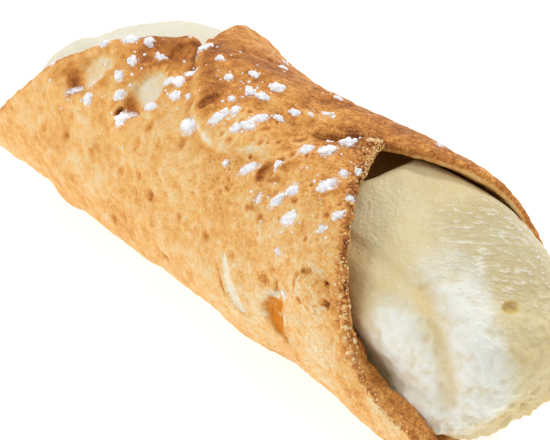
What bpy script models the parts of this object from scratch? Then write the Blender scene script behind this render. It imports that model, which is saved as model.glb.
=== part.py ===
"""Cannoli: a sheet of fried dough wrapped once round a tube and filled with ricotta cream.

Metres, +Z up. The tube's axis lies along X, with the fuller mouth towards +X. The wrap's
free flap ends on top, and its long lips lie below, so the cannoli rests on a narrow flat
on its underside at Z = 0. The origin is on that flat, below the middle of the whole.

A place on the dough is given by x, the distance along the tube, and by turn, the angle
from the top towards -Y. The wrap is the angle gone round so far from the hidden edge.
Along runs from 0 at the far rim of the dough, towards -X, to 1 at the near rim.
"""
import math

import bmesh
import bpy
from mathutils import Vector, noise

# Driving dimensions, in millimetres and degrees.
MM = 0.001
TUBE_RADIUS = 18.5         # to the middle of the dough
DOUGH = 2.6                # thickness of the fried sheet
PRESSED_DOUGH = 1.3        # thickness where the flap is pressed down
LIP_DOUGH = 1.7            # thickness at the fried lips of both mouths
LIP_SHARE = 0.1            # share of the dough's length that thins towards each lip
LAYER_GAP = 0.35           # between the overlapping layers
CREAM_GAP = 0.5            # between the cream and the dough
FLAT_DEPTH = 0.5           # how far the underside is flattened

# The wrap: where its ends are, and how its two layers clear each other.
HIDDEN_EDGE_TURN = 32      # where the wrap starts, under the flap
SEALED_WRAP = 384          # where the pressed flap ends
NEAR_CORNER_WRAP = 402     # where the flap's loose corners end, at the two mouths
FAR_CORNER_WRAP = 392
CORNER_SHARE = 0.2         # share of the flap's edge that belongs to each loose corner
PRESSED_WIDTH = 22         # how wide the pressed edge is
INNER_DIP = 1.3            # how far the covered layer lies inside the tube's radius
DIP_ENDS = (34, 64)        # wraps between which the covered layer comes back out
FLAP_RISE = DOUGH + LAYER_GAP - INNER_DIP
RISE_ENDS = (312, 354)     # wraps between which the flap climbs over the covered layer
CORNER_LIFT = 0.7          # how far the near corner stands off
CORNER_LIFT_FROM = 372

# Ends of the dough sheet: (wrap, x), the mouths being short on top and long below.
NEAR_RIM = ((0, 5), (43, 14.5), (59, 24), (77, 32.5), (99, 37.5), (122, 43), (155, 45.5), (196, 47),
            (216, 46.5), (241, 50), (272, 56), (283, 54.5), (298, 43), (315, 39), (341, 33.7),
            (374, 25.3), (388, 22.6), (402, 20))
FAR_RIM = ((0, -14), (34, -23), (66, -27.4), (92, -32), (122, -42), (170, -51), (212, -56),
           (262, -58.5), (289, -55), (323, -46.5), (349, -39.5), (369, -32.5), (392, -23.5))

# Where the tube is wider or narrower: (x, turn, reach along, reach round in degrees, height).
FLARES = (
    (29, -52, 32, 62, 2.8),       # near mouth, the back lip
    (44, 130, 18, 55, 1.0),       # near mouth, the front lip
    (12, 130, 10, 40, 0.7),
    (-9, -50, 16, 40, -1.1),      # the waist at the back
    (-30, -40, 12, 40, 1.2),      # far mouth, the back lip
    (-20, 130, 50, 60, 0.9),      # the fuller front
    (-60, 125, 16, 60, 0.9),      # far mouth, the front lip
)
# Blisters and hollows of the frying dough: (x, turn, half length, half width, height).
BLISTERS = (
    (-7, 6, 15, 12, 1.4),         # the large smooth blister on top
    (-36.5, 45, 6, 5, -1.2),      # two burst ones towards the far mouth
    (-21.5, 40, 6.5, 6, -1.2),
    (-23.5, 18, 5.5, 5, -1.1),    # the brown hollow between them and the top
    (9.4, 35, 2.6, 2.6, -0.7),
    (21.5, 86, 4, 8, -1.0),       # the long hollow in the front
    (29, 68, 5, 4, 0.8),
    (11.5, 94, 4, 8, 0.6),
    (-38, 128, 5, 4, 0.9),
)
UNEVENNESS = 0.35
UNEVEN_SPACING = 14

# The cream: (turn, x) where it leaves the wall at each mouth, and its two domes.
NEAR_CREAM_LINE = ((-180, 40), (-120, 38), (-75, 33), (-48, 26), (-22, 13), (0, 12), (25, 20),
                   (50, 29), (90, 38), (125, 44), (180, 40))
FAR_CREAM_LINE = ((-180, -50), (-90, -38), (-30, -26), (0, -24), (40, -36), (90, -46), (140, -52),
                  (180, -50))
NEAR_DOME = {"tip": 61, "rise": 1, "slope": 0.85}      # a slope below 1 is fuller than an ellipse
FAR_DOME = {"tip": -54, "rise": -1.5, "slope": 1.1}
DOME_RADIUS = 16.5         # what both domes round to towards their tips
HOLLOW_CLEARANCE = 1.15    # the cream gives way to the dough's hollows by a little more

ROWS_ROUND = 60            # faces round the wrap, and along the tube
ROWS_ALONG = 22
CREAM_SIDES = 44
CREAM_RINGS = 36
BODY_LATITUDE = math.radians(45)


def curve(points, at):
    """A smooth curve through (place, value) points, without overshoot between them."""
    last = len(points) - 1
    if at <= points[0][0]:
        return points[0][1]
    if at >= points[last][0]:
        return points[last][1]
    slopes = [(b[1] - a[1]) / (b[0] - a[0]) for a, b in zip(points, points[1:])]
    k = next(i for i in range(last) if at <= points[i + 1][0])

    def tangent(i):
        if i in (0, last):
            return slopes[0 if i == 0 else -1]
        before, after = slopes[i - 1], slopes[i]
        return 0 if before * after <= 0 else 2 * before * after / (before + after)

    (x0, y0), (x1, y1) = points[k], points[k + 1]
    span = x1 - x0
    t = (at - x0) / span
    return ((1 + 2 * t) * (1 - t) ** 2 * y0 + t * (1 - t) ** 2 * span * tangent(k)
            + t * t * (3 - 2 * t) * y1 + t * t * (t - 1) * span * tangent(k + 1))


def ramp(start, end, at):
    """0 before start, 1 after end, smooth between."""
    t = min(max((at - start) / (end - start), 0), 1)
    return t * t * (3 - 2 * t)


def turn_between(a, b):
    """The angle from b to a, between -180 and 180 degrees."""
    return (a - b + 180) % 360 - 180


def mound(distance):
    """A smooth hump: 1 at 0, level with its surroundings from 1 on."""
    return max(0, 1 - distance * distance) ** 2


def flare(x, turn):
    """How much wider the tube is here than its radius, in millimetres."""
    width = 0
    for at_x, at_turn, reach, spread, rise in FLARES:
        width += rise * mound(math.hypot((x - at_x) / reach, turn_between(turn, at_turn) / spread))
    angle = math.radians(turn)
    place = Vector((x, TUBE_RADIUS * math.sin(angle), TUBE_RADIUS * math.cos(angle)))
    return width + UNEVENNESS * noise.noise(place / UNEVEN_SPACING)


def blistering(x, turn):
    """Height in millimetres of the dough's blisters and hollows."""
    height = 0
    for at_x, at_turn, half_length, half_width, rise in BLISTERS:
        round_way = math.radians(turn_between(turn, at_turn)) * TUBE_RADIUS
        height += rise * mound(math.hypot((x - at_x) / half_length, round_way / half_width))
    return height


def on_tube(x, turn, radius):
    """The point at a radius from the tube's axis, in metres, above the resting plane."""
    angle = math.radians(turn)
    axis_height = TUBE_RADIUS + DOUGH / 2 - FLAT_DEPTH
    return Vector((x, -radius * math.sin(angle), axis_height + radius * math.cos(angle))) * MM


def wrap_end(along):
    """Where the flap's free edge is: sealed in the middle, with a loose corner at each end."""
    near = (NEAR_CORNER_WRAP - SEALED_WRAP) * ramp(1 - CORNER_SHARE, 1, along)
    far = (FAR_CORNER_WRAP - SEALED_WRAP) * ramp(CORNER_SHARE, 0, along)
    return SEALED_WRAP + near + far


def dough_thickness(along, wrap):
    """The dough's thickness: pressed thin at the flap's sealed edge, and thinner at the lips."""
    sealed = ramp(1, 1 - CORNER_SHARE, along) * ramp(0, CORNER_SHARE, along)
    pressed = sealed * ramp(wrap_end(along) - PRESSED_WIDTH, wrap_end(along), wrap)
    lip = max(ramp(1 - LIP_SHARE, 1, along), ramp(LIP_SHARE, 0, along))
    return DOUGH - max((DOUGH - PRESSED_DOUGH) * pressed, (DOUGH - LIP_DOUGH) * lip)


def sheet_point(along, wrap):
    """The middle of the dough's thickness at a place on the sheet."""
    x = (1 - along) * curve(FAR_RIM, wrap) + along * curve(NEAR_RIM, wrap)
    turn = HIDDEN_EDGE_TURN - wrap
    thickness = dough_thickness(along, wrap)
    climbed = ramp(*RISE_ENDS, wrap)
    radius = TUBE_RADIUS + flare(x, turn) + blistering(x, turn)
    radius -= INNER_DIP * (1 - ramp(*DIP_ENDS, wrap))
    radius += (FLAP_RISE - (DOUGH - thickness) / 2) * climbed
    near_corner = ramp(1 - CORNER_SHARE, 1, along) * ramp(CORNER_LIFT_FROM, NEAR_CORNER_WRAP, wrap)
    radius += CORNER_LIFT * near_corner
    point = on_tube(x, turn, radius)
    point.z = max(point.z, thickness / 2 * MM)
    return point


def make_material(name, colour, roughness):
    material = bpy.data.materials.new(name)
    material.use_nodes = True
    shader = material.node_tree.nodes["Principled BSDF"]
    shader.inputs["Base Color"].default_value = (*colour, 1)
    shader.inputs["Roughness"].default_value = roughness
    shader.inputs["Metallic"].default_value = 0
    return material


def add_object(name, bm, material, collection):
    """Turn a bmesh into a smooth-shaded object of the collection."""
    mesh = bpy.data.meshes.new(name)
    bm.to_mesh(mesh)
    bm.free()
    mesh.shade_smooth()
    mesh.materials.append(material)
    made = bpy.data.objects.new(name, mesh)
    collection.objects.link(made)
    return made


def make_shell(collection):
    """The wrapped sheet: a grid bent round the tube and thickened by Solidify."""
    bm = bmesh.new()
    bmesh.ops.create_grid(bm, x_segments=ROWS_ROUND, y_segments=ROWS_ALONG, size=1)
    shares = []
    for vertex in bm.verts:
        along = (vertex.co.y + 1) / 2
        wrap = (vertex.co.x + 1) / 2 * wrap_end(along)
        shares.append(dough_thickness(along, wrap) / DOUGH)
        vertex.co = sheet_point(along, wrap)
    bmesh.ops.recalc_face_normals(bm, faces=bm.faces)
    fried_dough = make_material("fried dough", (0.72, 0.38, 0.15), 0.55)
    shell = add_object("shell", bm, fried_dough, collection)

    group = shell.vertex_groups.new(name="share of thickness")
    for index, share in enumerate(shares):
        group.add([index], share, "REPLACE")
    solidify = shell.modifiers.new("dough", "SOLIDIFY")
    solidify.thickness = DOUGH * MM
    solidify.offset = 0
    solidify.vertex_group = group.name
    return shell


def cream_radius(x, turn):
    """The cream's outside where it fills the tube, just clear of the dough."""
    dip_start, dip_end = (HIDDEN_EDGE_TURN - wrap for wrap in DIP_ENDS)
    covered = ramp(dip_end, dip_start, turn) * ramp(HIDDEN_EDGE_TURN + 18, HIDDEN_EDGE_TURN + 4, turn)
    wall = TUBE_RADIUS - DOUGH / 2 + flare(x, turn) - INNER_DIP * covered
    return wall + HOLLOW_CLEARANCE * min(blistering(x, turn), 0) - CREAM_GAP


def cream_point(turn, latitude):
    """A point of the cream: a straight run between its two lines, and a dome past each."""
    near, far = curve(NEAR_CREAM_LINE, turn), curve(FAR_CREAM_LINE, turn)
    if abs(latitude) <= BODY_LATITUDE:
        x = far + (near - far) * (latitude / BODY_LATITUDE + 1) / 2
        return on_tube(x, turn, cream_radius(x, turn))
    line, dome = (near, NEAR_DOME) if latitude > 0 else (far, FAR_DOME)
    lean = (abs(latitude) - BODY_LATITUDE) / (math.pi / 2 - BODY_LATITUDE) * math.pi / 2
    tipwards = math.sin(lean) ** 2
    foot = cream_radius(line, turn) * (1 - tipwards) + DOME_RADIUS * tipwards
    x = line + (dome["tip"] - line) * math.sin(lean)
    point = on_tube(x, turn, foot * math.cos(lean) ** dome["slope"])
    point.z += dome["rise"] * tipwards * MM
    return point


def make_filling(collection):
    """The cream: a ball drawn out along the tube, whose ends are the two domes."""
    bm = bmesh.new()
    bmesh.ops.create_uvsphere(bm, u_segments=CREAM_SIDES, v_segments=CREAM_RINGS, radius=1)
    for vertex in bm.verts:
        turn = math.degrees(math.atan2(-vertex.co.x, vertex.co.y))
        latitude = math.asin(max(-1, min(1, vertex.co.z)))
        vertex.co = cream_point(turn, latitude)
        vertex.co.z = max(vertex.co.z, (DOUGH + LAYER_GAP) * MM)
    cream = make_material("ricotta cream", (0.80, 0.74, 0.56), 0.45)
    return add_object("filling", bm, cream, collection)


def centre_on_origin(pieces):
    """Slide the pieces together along X and Y, so that the whole is centred on the origin."""
    bpy.context.view_layer.update()
    depsgraph = bpy.context.evaluated_depsgraph_get()
    points = []
    for piece in pieces:
        points += [vertex.co.copy() for vertex in piece.evaluated_get(depsgraph).data.vertices]
    for axis in (0, 1):
        places = [point[axis] for point in points]
        for piece in pieces:
            piece.location[axis] = -(min(places) + max(places)) / 2


def main():
    for old in list(bpy.data.objects):
        bpy.data.objects.remove(old, do_unlink=True)
    collection = bpy.data.collections.new("cannoli")
    bpy.context.scene.collection.children.link(collection)
    centre_on_origin([make_shell(collection), make_filling(collection)])


main()
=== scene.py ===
"""The looks of a cannoli: its fried crust, ricotta cream, sugar and crumbs.

The pieces are worked out in the tube's own frame, in millimetres: x runs along the tube,
turn is the angle in degrees from the top towards -Y, and wrap is the angle gone round the
dough so far from its hidden edge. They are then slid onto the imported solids.
"""
import math

import bmesh
import bpy
import numpy as np
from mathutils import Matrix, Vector, noise
from mathutils.bvhtree import BVHTree


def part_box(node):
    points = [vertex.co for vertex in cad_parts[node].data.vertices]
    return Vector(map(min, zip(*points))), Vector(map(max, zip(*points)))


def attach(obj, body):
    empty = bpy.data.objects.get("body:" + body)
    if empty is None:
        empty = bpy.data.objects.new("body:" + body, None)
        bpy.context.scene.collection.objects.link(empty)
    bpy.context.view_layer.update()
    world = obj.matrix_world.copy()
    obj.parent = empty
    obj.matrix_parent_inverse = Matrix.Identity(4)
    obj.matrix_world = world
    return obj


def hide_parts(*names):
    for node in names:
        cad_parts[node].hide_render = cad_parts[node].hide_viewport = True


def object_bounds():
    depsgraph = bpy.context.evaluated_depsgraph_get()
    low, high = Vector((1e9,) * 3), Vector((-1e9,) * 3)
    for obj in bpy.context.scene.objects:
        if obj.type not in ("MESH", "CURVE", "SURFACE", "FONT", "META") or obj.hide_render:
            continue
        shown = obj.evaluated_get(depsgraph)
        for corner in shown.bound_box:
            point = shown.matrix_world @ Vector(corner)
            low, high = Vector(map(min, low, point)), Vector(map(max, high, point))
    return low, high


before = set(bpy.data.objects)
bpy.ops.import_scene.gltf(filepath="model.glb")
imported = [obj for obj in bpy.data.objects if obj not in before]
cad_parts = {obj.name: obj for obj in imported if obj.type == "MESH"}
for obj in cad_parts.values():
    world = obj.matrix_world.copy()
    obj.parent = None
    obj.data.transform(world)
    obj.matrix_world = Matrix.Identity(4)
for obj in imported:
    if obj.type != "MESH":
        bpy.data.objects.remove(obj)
cad_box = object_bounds()

MM = 0.001

# The solids' driving dimensions, which the looks repeat.
TUBE_RADIUS = 18.5         # to the middle of the dough
DOUGH = 2.6
PRESSED_DOUGH = 1.3        # where the flap is pressed down
LIP_DOUGH = 1.7            # at the fried lips of both mouths
LIP_SHARE = 0.1
LAYER_GAP = 0.35
CREAM_GAP = 0.5
FLAT_DEPTH = 0.5
HIDDEN_EDGE_TURN = 32
SEALED_WRAP = 384
NEAR_CORNER_WRAP = 402
FAR_CORNER_WRAP = 392
CORNER_SHARE = 0.2
PRESSED_WIDTH = 22
INNER_DIP = 1.3
DIP_ENDS = (34, 64)
FLAP_RISE = DOUGH + LAYER_GAP - INNER_DIP
RISE_ENDS = (312, 354)
CORNER_LIFT = 0.7
CORNER_LIFT_FROM = 372
AXIS_HEIGHT = TUBE_RADIUS + DOUGH / 2 - FLAT_DEPTH

# Ends of the dough sheet: (wrap, x).
NEAR_RIM = ((0, 5), (43, 14.5), (59, 24), (77, 32.5), (99, 37.5), (122, 43), (155, 45.5), (196, 47),
            (216, 46.5), (241, 50), (272, 56), (283, 54.5), (298, 43), (315, 39), (341, 33.7),
            (374, 25.3), (388, 22.6), (402, 20))
FAR_RIM = ((0, -14), (34, -23), (66, -27.4), (92, -32), (122, -42), (170, -51), (212, -56),
           (262, -58.5), (289, -55.7), (323, -47.2), (349, -39.9), (369, -32.5), (392, -23.5))

# Where the tube is wider or narrower: (x, turn, reach along, reach round in degrees, height).
FLARES = (
    (29, -52, 32, 62, 2.8),
    (44, 130, 18, 55, 1.0),
    (12, 130, 10, 40, 0.7),
    (-9, -50, 16, 40, -1.1),
    (-30, -40, 12, 40, 1.2),
    (-20, 130, 50, 60, 0.9),
    (-60, 125, 16, 60, 0.9),
)
# Blisters and hollows: (x, turn, half length, half width, height).
BLISTERS = (
    (-7, 6, 15, 12, 1.4),
    (-36.5, 45, 6, 5, -1.2),
    (-21.5, 40, 6.5, 6, -1.2),
    (-23.5, 18, 5.5, 5, -1.1),
    (9.4, 35, 2.6, 2.6, -0.7),
    (21.5, 86, 4, 8, -1.0),
    (29, 68, 5, 4, 0.8),
    (11.5, 94, 4, 8, 0.6),
    (-38, 128, 5, 4, 0.9),
)
UNEVENNESS = 0.35
UNEVEN_SPACING = 14

# The cream: (turn, x) where it leaves the wall at each mouth, and its two domes.
NEAR_CREAM_LINE = ((-180, 41), (-120, 40), (-75, 37), (-48, 31), (-24, 16.5), (0, 11), (25, 20),
                   (50, 30), (90, 39.5), (125, 44), (180, 41))
FAR_CREAM_LINE = ((-180, -50), (-90, -38), (-30, -26), (0, -24), (40, -38), (65, -43.5), (90, -48.5),
                  (140, -52), (180, -50))
NEAR_DOME = {"tip": 61, "rise": 1, "slope": 0.85}
FAR_DOME = {"tip": -55, "rise": -1.9, "slope": 0.9}
DOME_RADIUS = 16.5
HOLLOW_CLEARANCE = 1.15

# Fine relief of the crust. Places are (x, turn), lengths millimetres, a lean is in degrees from
# the tube's length towards the top, and "fried" runs from 0, pale flour, to 1, nearly black. On the
# crust it also carries painted shade in hollows, creases and crater walls, and painted highlights on ridges.
ARC = math.radians(1) * (TUBE_RADIUS + DOUGH / 2)      # millimetres round the tube in a degree
EDGE_STEPS = (0, 0.05, 0.17, 0.36, 0.62, 0.92, 1.3)    # distances that round off the dough's edges
CRUST_ROWS = 360
CRUST_COLUMNS = 400
INNER_MARGINS = (16, 70)   # rows at the far and near mouth that the inner face keeps
INNER_STEP = 8             # of the rows between them it keeps one in so many
SEAM_FILL_ENDS = (-34, 6)  # turns over which the dough beside the sealed edge fills its step
SEAM_FILL = 20.05
SEAM_OPENS = (15.5, 18.5)    # x from which the flap's near corner lies loose
LIP_FROM_RIM = (0.2, 2.6)
LIP_TO_RIM = (14, 6)
LIP_ROLLS = (              # where the near lip is thicker or thinner inwards: turns, millimetres
    ((68, 90, 138, 160), 2.4),
    ((-140, -110, -62, -44), -0.7),
)

FRIED_FRONT = 0.385
FRIED_TOP = 0.57
TOP_TURNS = (42, 8)        # turns over which the lighter front becomes the browner top
PIT_DEPTH = 0.28
POCKS = 48                 # small burst blisters strewn over the flap's near part
POCK_LIMITS = ((-2, 29), (14, 64))
PITS = tuple((x, 78) for x in (-27, -19, -10.5, -3, 4, 11, 18.5)) + (
    (-14, 72), (-16, 59), (-15, 49), (-7, 47), (-21, 108), (-7, 108), (0, 107), (-40, 84), (-34, 80))
CRATERS = (  # x, turn, half length, half width, lean, depth, rim height, fried floor, wall tone with painted shade
    (-33.4, 45.5, 5.4, 3.1, 50, 1.3, 0.35, 0.14, 0.72),
    (-20.6, 38, 5.1, 3.6, 75, 1.3, 0.35, 0.03, 0.64),
    (-25.5, 21, 2.9, 2.2, 70, 0.6, 0.1, 0.64, 0.72),
    (-21.8, 11, 2.8, 1.9, 70, 0.6, 0.1, 0.66, 0.74),
    (10.5, 36, 2.2, 1.9, 60, 0.7, 0.3, 0.50, 0.72),
    (12.6, 49, 1.3, 0.8, 80, 0.4, 0.2, 0.30, 0.60),
    (-23, 52.5, 0.9, 0.7, 60, 0.8, 0.1, 0.80, 0.85),
    (-7.3, 25.5, 1.9, 1.0, 70, 0.5, 0.0, 0.66, 0.72),
    (-25.5, 74, 1.3, 0.8, 0, 0.3, 0.1, 0.40, 0.50),
    (-31, 100, 1.6, 1.0, 20, 0.35, 0.1, 0.42, 0.5),
)
FOLDS = (  # places along it, half width, height, change in fried
    (((4, 6.5), (7, -4), (8, -13), (7.5, -27)), 1.1, 0.5, -0.16),
    (((6.5, 86), (8, 93), (10, 101)), 0.3, -0.3, 0.25),
    (((7.6, 90), (9.5, 98), (11, 106)), 0.25, -0.25, 0.22),
    (((36, 80), (35.5, 87)), 0.2, -0.3, 0.3),
    (((33.5, 93), (36, 100)), 0.2, -0.3, 0.25),
    (((-38, 60), (-30, 66), (-24, 62)), 1.2, 0.2, -0.06),
    (((-16, 88), (-6, 96), (0, 93)), 1.5, 0.22, -0.08),
    (((-48, 84), (-42, 96), (-33, 104)), 1.6, 0.3, -0.08),
    (((14, 60), (20, 52), (27, 50)), 1.3, 0.18, -0.05),
)
BUBBLE_EDGE = ((-24, -8), (-19, 5), (-17, 13), (-14.5, 20), (-10, 28), (-7.5, 34), (-5, 38), (-2, 40), (2, 38),
               (5.5, 33), (9, 27))
BUBBLE_STEP = 0.8
SLIT = ((8.7, 79), (10.3, 88), (11.5, 95), (14, 105))
HOLLOW_MIDDLE = ((70, 21), (80, 21), (95, 21.3), (106, 23))       # the long hollow: (turn, x)
HOLLOW_HALF = ((73, 0.02), (77, 0.5), (83, 1.0), (88, 2.0), (94, 2.6), (102, 2.7), (104.5, 2.1), (106, 0.02))
CRACKED = (30, 66.5, 3.1, 2.8)       # a burst blister, its skin cracked all round
CRUMBLY = (  # where the surface has burst into crumbs: x, turn, half length, half width, share
    (17, -5, 6.5, 5.5, 1.0),
    (14.5, 6, 4, 4, 0.7),
    (22, 29, 2.6, 3.4, 0.9),
    (1.5, 48, 2.6, 2.8, 0.6),
    (12.5, 14, 2.5, 2.5, 0.6),
    (22.5, 80, 1.6, 1.6, 0.5),
    (24, 103, 2.2, 2.0, 0.6),
    (-24, 30, 3, 2.5, 0.4),
    (8, -20, 10, 2.2, 0.35),
)
BROWN = (  # browner places: x, turn, half length, half width, change in fried
    (-14, -12, 20, 9, 0.06),
    (8, -30, 22, 9, 0.08),
    (-23, 17, 6.5, 6, 0.10),
    (-40, 52, 4, 3, 0.12),
    (-7, 25, 3.5, 3.5, 0.08),
    (17.5, -5, 6.5, 7, 0.15),
    (15.5, 0, 4, 3, 0.08),
    (38.8, 84, 2.2, 7, 0.18),
    (42, 98, 2.0, 6, 0.10),
    (36, 66, 3, 5, 0.08),
    (26, 4, 7, 6, 0.10),
    (30, -50, 26, 12, 0.06),
    (3, 42, 6, 6, 0.05),
    (29, 34, 7, 6, 0.06),
    (10, -120, 30, 16, 0.10),
    (-25, -100, 20, 14, 0.09),
    (20, 170, 26, 14, 0.08),
    (-30, 165, 26, 14, -0.06),
    (12, 96, 14, 9, -0.08),
    (30, 88, 9, 8, -0.07),
    (35, 102, 9, 8, -0.09),
    (2, 24, 9, 5, -0.07),
)


# Sugar: (x, turn, length, width, lean) of the lumps that stand out, from the far end to the near.
SUGAR = (
    (-42.5, 52, 1.5, 1.0, 40), (-34.9, 56.6, 2.9, 1.2, 50), (-31, 47.6, 2.0, 1.4, 50), (-30.5, 55.3, 2.1, 1.6, 80),
    (-34.4, 31, 1.8, 1.4, 30), (-31.2, 21.5, 3.0, 2.5, 30), (-28, 18, 1.9, 1.6, 0), (-26.8, 39, 1.6, 1.4, 0),
    (-26.6, 30.6, 1.8, 1.5, 70), (-24.6, 45.6, 2.0, 1.6, 80), (-21.4, 53, 3.2, 1.9, 70), (-24.4, 20, 2.8, 1.4, 20),
    (-16, 26.3, 2.2, 2.0, 0), (-17.5, 29, 1.7, 1.3, 60), (-14.4, 32, 2.2, 1.8, 0), (-17.2, 42, 2.3, 1.6, 20),
    (-19.7, 3.5, 3.6, 1.8, 114), (-16.3, 19, 2.7, 1.2, 75), (-14.7, 5, 1.9, 1.5, 0), (-12, 29, 1.2, 1.0, 0),
    (-9.5, 11, 1.7, 1.2, 0), (-7.5, 2, 2.3, 1.3, 0), (-4.3, 10.8, 2.2, 1.5, -20), (-2, 8.8, 2.8, 1.3, 10),
    (-2.5, 0, 2.9, 2.2, 20), (-8.1, 39, 2.9, 2.4, 20), (-3.5, 30.5, 2.2, 1.7, 80), (-3.2, 26.5, 1.6, 1.3, 0),
    (-5, 19, 1.2, 1.0, 0), (-2.5, 22.5, 2.5, 1.2, -60), (0.5, 29, 1.6, 1.5, 0), (1.5, 25, 2.6, 1.7, 20),
    (1.7, 18, 2.6, 1.6, 70), (3.4, 12, 2.3, 1.1, 0), (4, 4, 2.2, 1.7, 0), (6, 0, 1.1, 1.0, 0),
    (7, -8, 3.4, 1.3, 10), (13, 18, 2.3, 1.8, 80), (12.5, 5, 2.9, 1.6, 0), (16, 12, 3.3, 2.7, 10),
    (16.6, 2.4, 3.8, 2.4, -10), (7.4, 39, 3.0, 1.6, 60), (3, 43, 1.2, 1.0, 0), (17.3, 36, 2.1, 1.7, 60),
    (16, 43, 3.0, 1.5, 70), (12.6, 47, 2.0, 0.9, 80), (21.8, 17, 1.4, 1.1, 0), (23.2, 12, 1.4, 1.1, 0),
    (21.6, 26, 3.1, 2.0, 60), (26, 24, 1.4, 1.1, 0), (27, 33.5, 2.0, 1.5, 60), (26.5, 42, 1.3, 1.0, 0),
    (20.2, 46, 3.0, 2.1, 50), (20.6, 61, 1.3, 1.0, 0), (23.6, 78, 1.5, 1.1, 0), (11.8, 31, 2.0, 1.0, 80),
    (-10, -22, 2.2, 1.4, 0), (2, -27, 1.8, 1.2, 30), (-15, -38, 1.6, 1.1, 0), (12, -40, 2.1, 1.3, 60),
    (-4, -52, 1.3, 1.0, 0), (22, -38, 1.5, 1.1, 0),
)
SUGAR_GRAINS = 170
DUSTED = (  # finely dusted places: x, turn, half length, half width, share
    (-28, 42, 14, 8, 0.22),
    (2, 14, 20, 9, 0.20),
    (17, 30, 12, 10, 0.16),
    (-4, -30, 22, 12, 0.12),
)
RIM_CRUMBS = 760
PALE_CRUMBS = (           # the palest ones: x, turn, half size
    (19.4, -4, 0.4), (19.9, -6, 0.36), (19.2, -2.5, 0.25), (38.2, 78, 0.3), (39.4, 84, 0.34), (39, 88, 0.3),
)


def curve(points, at):
    """A smooth curve through (place, value) points, without overshoot between them."""
    places, values = np.array(points, float).T
    slopes = np.diff(values) / np.diff(places)
    before, after = slopes[:-1], slopes[1:]
    same_way = before * after > 0
    between = np.where(same_way, 2 * before * after / np.where(same_way, before + after, 1), 0)
    tangents = np.concatenate([slopes[:1], between, slopes[-1:]])
    at = np.clip(at, places[0], places[-1])
    k = np.clip(np.searchsorted(places, at) - 1, 0, len(slopes) - 1)
    span = places[k + 1] - places[k]
    t = (at - places[k]) / span
    return ((1 + 2 * t) * (1 - t) ** 2 * values[k] + t * (1 - t) ** 2 * span * tangents[k]
            + t * t * (3 - 2 * t) * values[k + 1] + t * t * (t - 1) * span * tangents[k + 1])


def ramp(start, end, at):
    """0 before start, 1 after end, smooth between."""
    t = np.clip((at - start) / (end - start), 0, 1)
    return t * t * (3 - 2 * t)


def turn_between(a, b):
    return (a - b + 180) % 360 - 180


def mound(distance):
    return np.maximum(0, 1 - distance * distance) ** 2


def noise_at(points, spacing, shift=0.0):
    """Smooth noise between about -1 and 1 at an array of points."""
    flat = (np.asarray(points, float) / spacing + shift).reshape(-1, 3).tolist()
    return np.array([noise.noise(point) for point in flat]).reshape(points.shape[:-1])


def flare(x, turn):
    width = 0
    for at_x, at_turn, reach, spread, rise in FLARES:
        width = width + rise * mound(np.hypot((x - at_x) / reach, turn_between(turn, at_turn) / spread))
    angle = np.radians(turn)
    place = np.stack([x, TUBE_RADIUS * np.sin(angle), TUBE_RADIUS * np.cos(angle)], -1)
    return width + UNEVENNESS * noise_at(place, UNEVEN_SPACING)


def blistering(x, turn):
    height = 0
    for at_x, at_turn, half_length, half_width, rise in BLISTERS:
        round_way = np.radians(turn_between(turn, at_turn)) * TUBE_RADIUS
        height = height + rise * mound(np.hypot((x - at_x) / half_length, round_way / half_width))
    return height


def on_tube(x, turn, radius):
    """Points at a radius from the tube's axis, in millimetres above the resting plane."""
    angle = np.radians(turn)
    return np.stack([x, -radius * np.sin(angle), AXIS_HEIGHT + radius * np.cos(angle)], -1)


def wrap_end(along):
    near = (NEAR_CORNER_WRAP - SEALED_WRAP) * ramp(1 - CORNER_SHARE - 0.05, 1, along)
    far = (FAR_CORNER_WRAP - SEALED_WRAP) * ramp(CORNER_SHARE, 0, along)
    return SEALED_WRAP + near + far


def dough_thickness(along, wrap):
    sealed = ramp(1, 1 - CORNER_SHARE, along) * ramp(0, CORNER_SHARE, along)
    pressed = sealed * ramp(wrap_end(along) - PRESSED_WIDTH, wrap_end(along), wrap)
    lip = np.maximum(ramp(1 - LIP_SHARE, 1, along), ramp(LIP_SHARE, 0, along))
    return DOUGH - np.maximum((DOUGH - PRESSED_DOUGH) * pressed, (DOUGH - LIP_DOUGH) * lip)


def sheet(along, wrap):
    """The dough at places on the sheet: x, turn, its middle's radius, and its thickness."""
    x = (1 - along) * curve(FAR_RIM, wrap) + along * curve(NEAR_RIM, wrap)
    turn = HIDDEN_EDGE_TURN - wrap
    thickness = dough_thickness(along, wrap)
    radius = TUBE_RADIUS + flare(x, turn) + blistering(x, turn)
    radius = radius - INNER_DIP * (1 - ramp(*DIP_ENDS, wrap))
    radius = radius + (FLAP_RISE - (DOUGH - thickness) / 2) * ramp(*RISE_ENDS, wrap)
    near_corner = ramp(1 - CORNER_SHARE, 1, along) * ramp(CORNER_LIFT_FROM, NEAR_CORNER_WRAP, wrap)
    return x, turn, radius + CORNER_LIFT * near_corner, thickness


def spaced(length, count):
    """Places along a length: close together near both ends and even between them."""
    steps = np.array(EDGE_STEPS)[:, None]
    even = np.linspace(0, 1, count - 2 * len(steps) + 2)[1:-1, None]
    length = np.atleast_1d(np.asarray(length, float))[None, :]
    start, end = steps + 0 * length, length - steps[::-1]
    return np.concatenate([start, steps[-1] + (length - 2 * steps[-1]) * even, end])


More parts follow.
